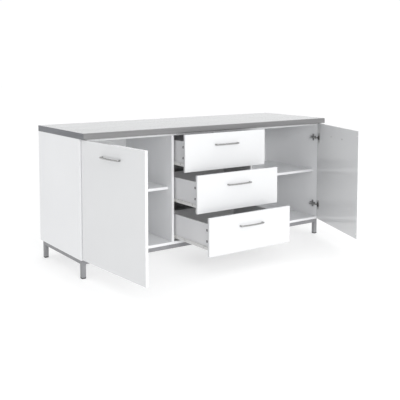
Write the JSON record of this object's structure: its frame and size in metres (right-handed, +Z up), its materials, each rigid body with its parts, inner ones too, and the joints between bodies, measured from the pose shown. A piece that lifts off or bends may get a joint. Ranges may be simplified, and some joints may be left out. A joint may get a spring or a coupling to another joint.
{
  "type": "sideboard buffet",
  "caption": "Low sideboard with an overhanging slab top, two hinged cupboard doors with loose shelves, a bank of drawers on roller runners, and a square-tube leg frame.",
  "frame": {"origin": "on the floor, under the middle of the bounding box of the sideboard as stored, with its doors and drawers open; the carcass is centred on X = 0 and its front plane lies at Y = +0.0217", "axes": "+X along the front from its left end to its right end, +Y from front to back, +Z up"},
  "size_m": [1.8, 1.1634, 0.806],
  "materials": {
    "worktop_laminate": "fine stone-look laminate on chipboard, satin",
    "worktop_edging": "blue-grey ABS edging, satin",
    "frame_paint": "grey powder coat, fine texture",
    "foot_plastic": "black moulded plastic",
    "handle_metal": "satin nickel",
    "hinge_steel": "nickel-plated pressed steel",
    "roller_nylon": "white nylon",
    "runner_paint": "white epoxy coat",
    "drawer_base_board": "light grey melamine on hardboard",
    "back_board": "white melamine on board",
    "drawer_box_board": "light grey melamine-faced chipboard",
    "front_board": "white melamine-faced chipboard with thin edging",
    "carcass_board": "white melamine-faced chipboard with thin edging"
  },
  "bodies": {
    "carcass": {"back_panel": "back_board", "bottom_panel": "carcass_board", "cabinet_runners": "runner_paint", "divider_left": "carcass_board", "divider_right": "carcass_board", "end_panel_left": "carcass_board", "end_panel_right": "carcass_board", "foot_plugs": "foot_plastic", "hinge_arms": "hinge_steel", "hinge_plates": "hinge_steel", "leg_front_left": "frame_paint", "leg_front_right": "frame_paint", "leg_rear_left": "frame_paint", "leg_rear_right": "frame_paint", "rail_front": "frame_paint", "rail_left": "frame_paint", "rail_rear": "frame_paint", "rail_right": "frame_paint", "shelf_left": "carcass_board", "shelf_pins": "hinge_steel", "shelf_right": "carcass_board", "top_panel": "carcass_board", "worktop": "worktop_laminate", "worktop_edging": "worktop_edging"},
    "cabinet_rollers_bottom": {"cabinet_rollers_bottom": "roller_nylon"},
    "cabinet_rollers_middle": {"cabinet_rollers_middle": "roller_nylon"},
    "cabinet_rollers_top": {"cabinet_rollers_top": "roller_nylon"},
    "door_left": {"door_left_handle": "handle_metal", "door_left_hinge_cups": "hinge_steel", "door_left_panel": "front_board"},
    "door_right": {"door_right_handle": "handle_metal", "door_right_hinge_cups": "hinge_steel", "door_right_panel": "front_board"},
    "drawer_bottom": {"drawer_bottom_back": "drawer_box_board", "drawer_bottom_bottom": "drawer_base_board", "drawer_bottom_front": "front_board", "drawer_bottom_handle": "handle_metal", "drawer_bottom_runners": "runner_paint", "drawer_bottom_side_left": "drawer_box_board", "drawer_bottom_side_right": "drawer_box_board"},
    "drawer_bottom_rollers": {"drawer_bottom_rollers": "roller_nylon"},
    "drawer_middle": {"drawer_middle_back": "drawer_box_board", "drawer_middle_bottom": "drawer_base_board", "drawer_middle_front": "front_board", "drawer_middle_handle": "handle_metal", "drawer_middle_runners": "runner_paint", "drawer_middle_side_left": "drawer_box_board", "drawer_middle_side_right": "drawer_box_board"},
    "drawer_middle_rollers": {"drawer_middle_rollers": "roller_nylon"},
    "drawer_top": {"drawer_top_back": "drawer_box_board", "drawer_top_bottom": "drawer_base_board", "drawer_top_front": "front_board", "drawer_top_handle": "handle_metal", "drawer_top_runners": "runner_paint", "drawer_top_side_left": "drawer_box_board", "drawer_top_side_right": "drawer_box_board"},
    "drawer_top_rollers": {"drawer_top_rollers": "roller_nylon"},
    "hinge_links_left": {"hinge_links_left": "hinge_steel"},
    "hinge_links_right": {"hinge_links_right": "hinge_steel"}
  },
  "joints": [
    {"name": "hinge_links_left_turn", "type": "hinge", "parent": "carcass", "child": "hinge_links_left", "pos_m": [-0.8635, 0.0212, 0.208], "axis": [0, 0, -1], "range_deg": [-3.8, 32.03]},
    {"name": "door_left_swing", "type": "hinge", "parent": "hinge_links_left", "child": "door_left", "pos_m": [-0.87997, 0.00311, 0.208], "axis": [0, 0, -1], "range_deg": [-117.53, 12.3]},
    {"name": "hinge_links_right_turn", "type": "hinge", "parent": "carcass", "child": "hinge_links_right", "pos_m": [0.8635, 0.0212, 0.208], "axis": [0, 0, 1], "range_deg": [-10.03, 25.8]},
    {"name": "door_right_swing", "type": "hinge", "parent": "hinge_links_right", "child": "door_right", "pos_m": [0.88184, 0.00501, 0.208], "axis": [0, 0, 1], "range_deg": [-94.3, 35.53]},
    {"name": "drawer_bottom_slide", "type": "slide", "parent": "carcass", "child": "drawer_bottom", "axis": [0, -1, 0], "range_m": [-0.346, 0.029]},
    {"name": "cabinet_rollers_bottom_spin", "type": "hinge", "parent": "carcass", "child": "cabinet_rollers_bottom", "pos_m": [0, 0.0377, 0.1472], "axis": [1, 0, 0], "continuous": true},
    {"name": "drawer_bottom_rollers_spin", "type": "hinge", "parent": "drawer_bottom", "child": "drawer_bottom_rollers", "pos_m": [0, 0.1637, 0.145], "axis": [1, 0, 0], "continuous": true},
    {"name": "drawer_middle_slide", "type": "slide", "parent": "carcass", "child": "drawer_middle", "axis": [0, -1, 0], "range_m": [-0.231, 0.144]},
    {"name": "cabinet_rollers_middle_spin", "type": "hinge", "parent": "carcass", "child": "cabinet_rollers_middle", "pos_m": [0, 0.0377, 0.36853], "axis": [1, 0, 0], "continuous": true},
    {"name": "drawer_middle_rollers_spin", "type": "hinge", "parent": "drawer_middle", "child": "drawer_middle_rollers", "pos_m": [0, 0.2787, 0.36633], "axis": [1, 0, 0], "continuous": true},
    {"name": "drawer_top_slide", "type": "slide", "parent": "carcass", "child": "drawer_top", "axis": [0, -1, 0], "range_m": [-0.11, 0.265]},
    {"name": "cabinet_rollers_top_spin", "type": "hinge", "parent": "carcass", "child": "cabinet_rollers_top", "pos_m": [0, 0.0377, 0.58987], "axis": [1, 0, 0], "continuous": true},
    {"name": "drawer_top_rollers_spin", "type": "hinge", "parent": "drawer_top", "child": "drawer_top_rollers", "pos_m": [0, 0.3997, 0.58767], "axis": [1, 0, 0], "continuous": true}
  ],
  "couplings": [
    {"joint": "hinge_links_left_turn", "follows": "door_left_swing", "ratio": -0.26829},
    {"joint": "hinge_links_right_turn", "follows": "door_right_swing", "ratio": -0.26829},
    {"joint": "cabinet_rollers_bottom_spin", "follows": "drawer_bottom_slide", "rad_per_m": 121.95},
    {"joint": "drawer_bottom_rollers_spin", "follows": "drawer_bottom_slide", "rad_per_m": 121.95},
    {"joint": "cabinet_rollers_middle_spin", "follows": "drawer_middle_slide", "rad_per_m": 121.95},
    {"joint": "drawer_middle_rollers_spin", "follows": "drawer_middle_slide", "rad_per_m": 121.95},
    {"joint": "cabinet_rollers_top_spin", "follows": "drawer_top_slide", "rad_per_m": 121.95},
    {"joint": "drawer_top_rollers_spin", "follows": "drawer_top_slide", "rad_per_m": 121.95}
  ]
}
